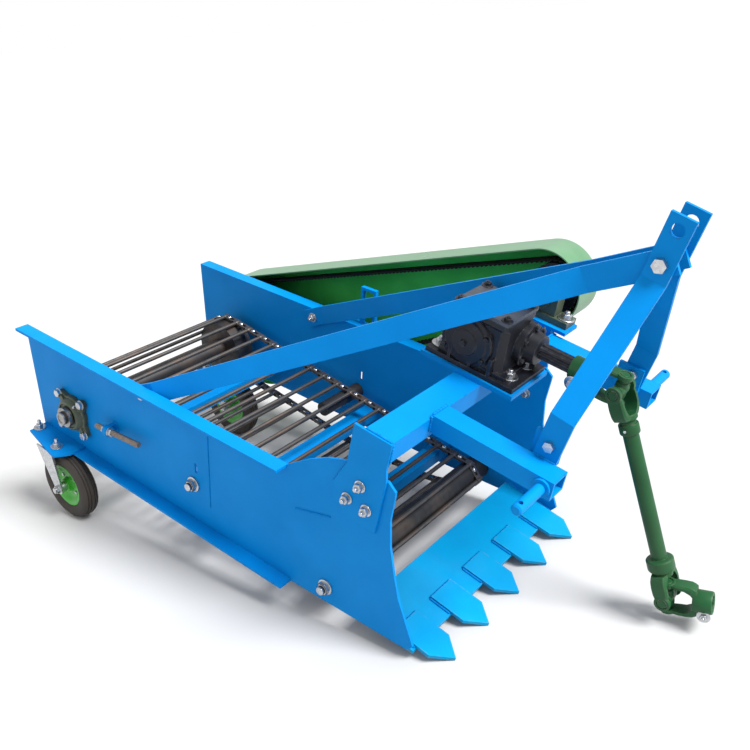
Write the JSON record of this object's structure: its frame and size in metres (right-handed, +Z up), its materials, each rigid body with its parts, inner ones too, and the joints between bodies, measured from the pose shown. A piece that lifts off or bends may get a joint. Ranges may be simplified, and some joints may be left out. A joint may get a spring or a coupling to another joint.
{
  "type": "potato harvester",
  "caption": "Small tractor-mounted potato harvester: toothed share, chain-and-rod web between blue side plates, gearbox, belt drive, two rear wheels, three-point hitch and drive shaft.",
  "frame": {"origin": "middle of the machine's box, on the ground under it", "axes": "+X forward towards the tractor, +Y the machine's left, +Z up"},
  "size_m": [1.7056, 0.847, 0.8751],
  "materials": {
    "blue": "mid blue enamel, even and half gloss",
    "green_cover": "light green enamel on thin sheet",
    "green_dark": "dark green enamel on forged yokes",
    "rim_green": "bright green enamel",
    "olive_casting": "olive grey painted casting",
    "black_casting": "black painted casting",
    "steel_dark": "dark rolled steel, oiled",
    "zinc": "zinc plated",
    "bare_steel": "bare machined steel",
    "rubber_web": "black rubber and canvas",
    "tyre": "dusty black rubber, ribbed tread"
  },
  "bodies": {
    "frame": {"side_plate_right": "blue", "side_plate_left": "blue", "beam_post_right": "blue", "beam_post_left": "blue", "share_plate": "blue", "share_teeth": "blue", "cross_beam": "blue", "cross_members": "blue", "hitch_tube_right": "blue", "hitch_tube_left": "blue", "hitch_pin_right": "blue", "hitch_pin_left": "blue", "mast_bar_right": "blue", "mast_bar_left": "blue", "mast_lugs": "blue", "strut_right": "blue", "strut_left": "blue", "gearbox_mount": "blue", "pillow_bracket": "blue", "cover_brackets": "blue", "flange_hoop": "blue", "takeup_right": "blue", "takeup_left": "blue", "wheel_bracket_right": "blue", "wheel_bracket_left": "blue", "belt_cover": "green_cover", "input_yoke": "green_dark", "bearing_right": "olive_casting", "bearing_left": "olive_casting", "pillow_block": "olive_casting", "gearbox_housing": "black_casting", "drive_pulley": "black_casting", "driven_pulley": "black_casting", "drive_drums": "black_casting", "gearbox_cover": "black_casting", "conveyor_rods": "steel_dark", "conveyor_chain_right": "steel_dark", "conveyor_chain_left": "steel_dark", "front_roller": "steel_dark", "idler_rollers": "steel_dark", "rear_drive_shaft": "steel_dark", "mast_bolts": "zinc", "fork_right": "zinc", "fork_left": "zinc", "wheel_axle_right": "zinc", "wheel_axle_left": "zinc", "input_shaft": "bare_steel", "output_shaft": "bare_steel", "locking_collars": "bare_steel", "drive_belts": "rubber_web"},
    "wheel_right": {"tyre_right": "tyre", "rim_right": "rim_green"},
    "wheel_left": {"tyre_left": "tyre", "rim_left": "rim_green"},
    "upper_joint": {"upper_cross": "green_dark"},
    "drive_shaft": {"drive_tube": "green_dark"},
    "lower_joint": {"lower_cross": "green_dark"},
    "coupling": {"end_yoke": "green_dark"}
  },
  "joints": [
    {"name": "wheel_right_spin", "type": "hinge", "parent": "frame", "child": "wheel_right", "pos_m": [-0.71896, -0.3715, 0.098], "axis": [0, 1, 0], "continuous": true},
    {"name": "wheel_left_spin", "type": "hinge", "parent": "frame", "child": "wheel_left", "pos_m": [-0.69496, 0.2035, 0.098], "axis": [0, 1, 0], "continuous": true},
    {"name": "upper_swing", "type": "hinge", "parent": "frame", "child": "upper_joint", "pos_m": [0.64404, 0.0635, 0.4991], "axis": [0.2756, 0, 0.9613], "range_deg": [-12, 12]},
    {"name": "upper_fold", "type": "hinge", "parent": "upper_joint", "child": "drive_shaft", "pos_m": [0.64404, 0.0635, 0.4991], "axis": [0, 1, 0], "range_deg": [-60, 12]},
    {"name": "lower_fold", "type": "hinge", "parent": "drive_shaft", "child": "lower_joint", "pos_m": [0.76186, 0.0635, 0.059], "axis": [0, 1, 0], "range_deg": [-4, 80]},
    {"name": "lower_swing", "type": "hinge", "parent": "lower_joint", "child": "coupling", "pos_m": [0.76186, 0.0635, 0.059], "axis": [-0.0698, 0, 0.9976], "range_deg": [-22, 2]}
  ]
}
